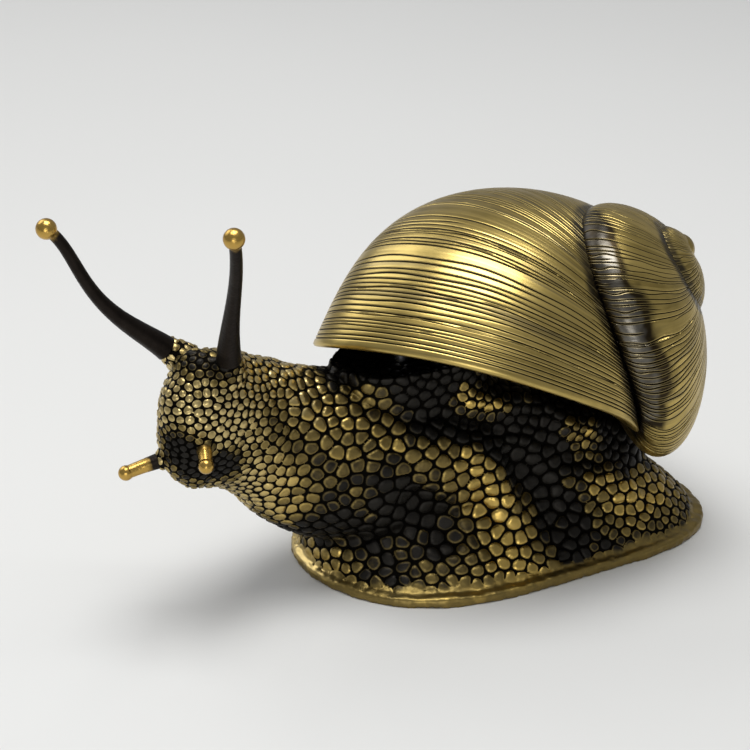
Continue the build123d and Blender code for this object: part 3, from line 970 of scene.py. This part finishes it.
# %% Layers of the shell
tone = add_node(tree, "Math", scale_and_add, _0=rib, _1=0.25, _2=0.1)
for pattern, share in ((streak, 0.25), (blotch, 0.6)):
    tone = add_node(tree, "Math", scale_and_add, _0=pattern, _1=share, _2=tone)
polish = add_node(tree, "MapRange", smooth_range, Value=tone, From_Min=0.35, From_Max=0.85)
dull, clear = colour("#8E7B44"), colour("#C4AC66")
metal = add_node(tree, "Mix", mix_colours, _0=polish, _6=dull, _7=clear, output=2)
ragged_shade = add_node(tree, "Math", scale_and_add, _0=blotch, _1=0.7, _2=shaded_band)
seam_shade = add_node(tree, "Math", scale_and_add, _0=smear, _1=0.7, _2=seamed)
for pattern, low, high, cover, tint in (
    (smear, 0.56, 0.74, 0.6, "#5C574A"),
    # The band is painted shade and dark reflection, purple-black at its edge and grey in its heart.
    (ragged_shade, 0.45, 1.0, 0.95, "#171112"),
    (ragged_shade, 1.15, 1.5, 0.8, "#7A7770"),
    # Painted shade in the seam.
    (seam_shade, 0.5, 1.25, 0.92, "#35322E"),
):
    inputs = {"Value": pattern, "From_Min": low, "From_Max": high, "To_Max": cover}
    share = add_node(tree, "MapRange", smooth_range, **inputs)
    metal = add_node(tree, "Mix", mix_colours, _0=share, _6=metal, _7=colour(tint), output=2)
print("layers of the shell:", len(tree.nodes), "nodes")

# %% [markdown]
# The crests get the lightest colour, from the polish and a painted highlight. What is hidden from
# the light gets painted shade, a dark brown, and the bottom of a groove is nearly black. A groove
# is also matt, where the polished rib beside it shines.

# %% Shell finish
# Painted highlight along the groove edges, together with the polish.
crest_highlight = add_node(tree, "Math", {"operation": "MULTIPLY"}, _0=crested, _1=0.4)
metal = add_node(tree, "Mix", mix_colours, _0=crest_highlight, _6=metal, _7=colour("#B9A468"), output=2)
# Painted shade: places that few rays leave turn dark brown.
light = add_node(tree, "Math", scale_and_add, _0=blotch, _1=0.3, _2=opened)
light = add_node(tree, "MapRange", smooth_range, Value=light, From_Min=0.32, From_Max=0.78)
metal = add_node(tree, "Mix", mix_colours, _0=light, _6=colour("#2B2622"), _7=metal, output=2)
cut = add_node(tree, "MapRange", smooth_range, Value=groove, From_Min=0.06, From_Max=0.34)
metal = add_node(tree, "Mix", mix_colours, _0=cut, _6=metal, _7=colour("#110E0A"), output=2)
matt = add_node(tree, "MapRange", Value=tone, From_Min=0.3, From_Max=0.9, To_Min=0.37, To_Max=0.26)
matt = add_node(tree, "Math", scale_and_add, _0=cut, _1=0.3, _2=matt)
bumps = add_node(tree, "Bump", Height=streak, Strength=0.15, Distance=0.0001)
bumps = add_node(tree, "Bump", Height=grain, Strength=0.15, Distance=0.00005, Normal=bumps)
make_metal(tree, shader, metal, matt, bumps)
shell_skin.data.materials.append(shell_finish)
print("shell finish:", len(tree.nodes), "nodes")

# %% [markdown]
# ## Brass of the body
#
# The same cast brass, but only the flat tops of the scales are rubbed bright. Each scale has its
# own tone, because the hand that rubbed it pressed more here and less there and because painted
# shade and painted light are stored with it, and its border is a little brighter than its middle.
# The grooves and the folds keep the liver-of-sulphur patina, a nearly black brown that reflects
# little.

# %% Rubbing of the body
body_finish, tree, shader, place = new_material("patinated_brass_scales")
edge_mm, wear_and_lighting_at, bare_rim, hollow, lit_head_share = (
    add_node(tree, "Attribute", {"attribute_name": name}, output="Fac")
    for name in ("edge", "wear_and_lighting", "bare", "inside", "lit_head_and_tops")
)
blotch = add_node(tree, "TexNoise", Vector=place, Scale=1 / 3, Detail=4.0, Roughness=0.6)
grain = add_node(tree, "TexNoise", Vector=place, Scale=1 / 0.5, Detail=3.0, Roughness=0.6)
# This brings together wear, painted shade and painted light from the mesh.
rubbing_and_lighting = add_node(tree, "Math", scale_and_add, _0=blotch, _1=0.5, _2=wear_and_lighting_at)
rubbing_and_lighting = add_node(tree, "Math", scale_and_add, _0=bare_rim, _1=0.1, _2=rubbing_and_lighting)
inputs = {"Value": edge_mm, "From_Min": 0.85, "From_Max": 0.45, "To_Max": 0.2}
border = add_node(tree, "MapRange", smooth_range, **inputs)
rubbing_and_lighting = add_node(tree, "Math", {"operation": "ADD"}, _0=rubbing_and_lighting, _1=border)
ranges = (rubbing_and_lighting, 0.25, 0.72), (rubbing_and_lighting, 0.68, 1.3), (edge_mm, 0.16, 0.42)
brown, gold, flat_top = (
    add_node(tree, "MapRange", smooth_range, Value=value, From_Min=low, From_Max=high)
    for value, low, high in ranges
)
print("rubbing of the body:", len(tree.nodes), "nodes")

# %% Body finish
# Painted sheen: on the head and the faces that look up, the gold tops turn paler, for the
# reflection of the pale room.
gold_top, sheen_top = colour("#C7A95C"), colour("#C4AF78")
gold_and_sheen_top = add_node(tree, "Mix", mix_colours, _0=lit_head_share, _6=gold_top, _7=sheen_top, output=2)
metal = colour("#2B2926")
for share, under_tint, over_tint in (
    (brown, None, colour("#7E6D40")),
    (gold, None, gold_and_sheen_top),
    (flat_top, colour("#0F0D0A"), None),
    (hollow, None, colour("#5A4E33")),
):
    inputs = {"_0": share, "_6": under_tint or metal, "_7": over_tint or metal}
    metal = add_node(tree, "Mix", mix_colours, **inputs, output=2)
matt = add_node(tree, "MapRange", Value=rubbing_and_lighting, From_Min=0.4, From_Max=1.3, To_Min=0.48, To_Max=0.3)
ground = add_node(tree, "Math", scale_and_add, _0=flat_top, _1=-0.25, _2=0.25)
matt = add_node(tree, "Math", {"operation": "ADD"}, _0=matt, _1=ground)
bumps = add_node(tree, "Bump", Height=grain, Strength=0.3, Distance=0.0001)
make_metal(tree, shader, metal, matt, bumps)
body_skin.data.materials.append(body_finish)
print("body finish:", len(tree.nodes), "nodes")

# %% [markdown]
# ## Feelers and fixings
#
# The feelers keep their CAD shape and are cast of the same brass, with the slight wrinkles of a
# soft skin. The long ones are dark to just below the round tip, which fingers keep bright, and
# the short ones are bright a little further. The screw, its washer and the pin are plain turned
# steel, seen only from below.

# %% Feeler finish
head_middle = foot + (0, -78.5, 48)
bright_lengths = {"eye_stalk": 5.6, "lower_feeler": 7.2}
tips = {}
for name in ("eye_stalk_left", "eye_stalk_right", "lower_feeler_left", "lower_feeler_right"):
    shape = vertex_array(nodes[name].data) * 1000
    tips[name] = shape[np.linalg.norm(shape - head_middle, axis=1).argmax()]
    bright_to = bright_lengths[name.rsplit("_", 1)[0]]
    finish, tree, shader, place = new_material("rubbed_brass_" + name)
    inputs = {"_0": place, "_1": tuple(tips[name])}
    reach = add_node(tree, "VectorMath", {"operation": "DISTANCE"}, output="Value", **inputs)
    blotch = add_node(tree, "TexNoise", Vector=place, Scale=1 / 2.5, Detail=4.0, Roughness=0.65)
    grain = add_node(tree, "TexNoise", Vector=place, Scale=1 / 0.4, Detail=3.0)
    uneven_reach = add_node(tree, "Math", scale_and_add, _0=blotch, _1=3.0, _2=reach)
    inputs = {"Value": uneven_reach, "From_Min": bright_to + 1.2, "From_Max": bright_to - 0.6}
    tip = add_node(tree, "MapRange", smooth_range, **inputs)
    inputs = {"_0": blotch, "_6": colour("#1A1715"), "_7": colour("#2E2824")}
    patina = add_node(tree, "Mix", mix_colours, **inputs, output=2)
    metal = add_node(tree, "Mix", mix_colours, _0=tip, _6=patina, _7=colour("#BD9A50"), output=2)
    matt = add_node(tree, "MapRange", Value=tip, To_Min=0.45, To_Max=0.27)
    bumps = add_node(tree, "Bump", Height=grain, Strength=0.3, Distance=0.0001)
    bumps = add_node(tree, "Bump", Height=blotch, Strength=0.5, Distance=0.0003, Normal=bumps)
    make_metal(tree, shader, metal, matt, bumps)
    nodes[name].material_slots[0].material = finish
print("feeler tips:", {name: tuple(np.round(tip, 1)) for name, tip in tips.items()})

# %% Steel of the fixings
steel_finish, tree, shader, place = new_material("turned_steel")
turning = add_node(tree, "TexNoise", Vector=place, Scale=1 / 0.3, Detail=3.0, Distortion=0.3)
dull, clear = colour("#8F9194"), colour("#C9CACB")
metal = add_node(tree, "Mix", mix_colours, _0=turning, _6=dull, _7=clear, output=2)
matt = add_node(tree, "MapRange", Value=turning, To_Min=0.28, To_Max=0.45)
bumps = add_node(tree, "Bump", Height=turning, Strength=0.2, Distance=0.00004)
make_metal(tree, shader, metal, matt, bumps)
for name in ("shell_screw", "shell_washer", "locating_pin"):
    nodes[name].material_slots[0].material = steel_finish
print("steel finish on the fixings")

# %% [markdown]
# ## Floor, light and camera
#
# The snail stands on a plain pale floor of matt paint. One soft lamp hangs straight above it,
# which draws the broad bright band over the shell. A larger one stands high behind on the left,
# and a weak one low on the side of the camera lights the flank. An even grey world fills the
# rest. The places of lamps and camera are in metres.

# %% Floor
points = [(x, y, 0) for x in (-2000, 2000) for y in (-2000, 2000)]
floor = new_piece("studio_floor", points, [(0, 2, 3, 1)], smooth=False)
floor_finish, tree, shader, place = new_material("matt_floor_paint")
cloud = add_node(tree, "TexNoise", Vector=place, Scale=0.003, Detail=2.0)
dull, clear = colour("#D2D2D0"), colour("#DADAD8")
paint = add_node(tree, "Mix", mix_colours, _0=cloud, _6=dull, _7=clear, output=2)
tree.links.new(paint, shader.inputs["Base Color"])
shader.inputs["Roughness"].default_value = 0.7
floor.data.materials.append(floor_finish)
print("floor laid")

# %% Light
world = bpy.data.worlds.new("studio_world")
bpy.context.scene.world = world
world.use_nodes = True
background = world.node_tree.nodes["Background"]
background.inputs["Color"].default_value = colour("#BFC0C2")
background.inputs["Strength"].default_value = 0.62

for name, place, target, size, power in (
    ("lamp_above", (0.02, 0.0, 0.75), (0, 0.01, 0.05), 0.42, 4.6),
    ("lamp_left", (-0.8, -0.5, 0.75), (0, 0, 0.04), 0.8, 4.0),
    ("lamp_front", (1.05, -0.36, 0.22), (0, 0, 0.05), 0.42, 1.9),
):
    lamp = bpy.data.lights.new(name, "AREA")
    lamp.shape, lamp.size, lamp.energy = "SQUARE", size, power
    holder = bpy.data.objects.new(name, lamp)
    holder.location = place
    holder.rotation_euler = (Vector(target) - Vector(place)).to_track_quat("-Z", "Y").to_euler()
    bpy.context.collection.objects.link(holder)
print("lamps:", len(bpy.data.lights))

# %% [markdown]
# The camera is the one that was fitted to the photograph, a long lens half a metre away.

# %% Camera
camera_data = bpy.data.cameras.new("camera")
camera_data.lens, camera_data.sensor_width = 113.45, 36
camera_data.clip_start, camera_data.clip_end = 0.01, 20
camera = bpy.data.objects.new("camera", camera_data)
camera.location = (0.45475, -0.14254, 0.2681)
camera.rotation_euler = Vector((0.8667, -0.2650, 0.4226)).to_track_quat("Z", "Y").to_euler()
bpy.context.collection.objects.link(camera)
bpy.context.scene.camera = camera
bpy.context.scene.view_settings.view_transform = "Standard"
print("camera set")
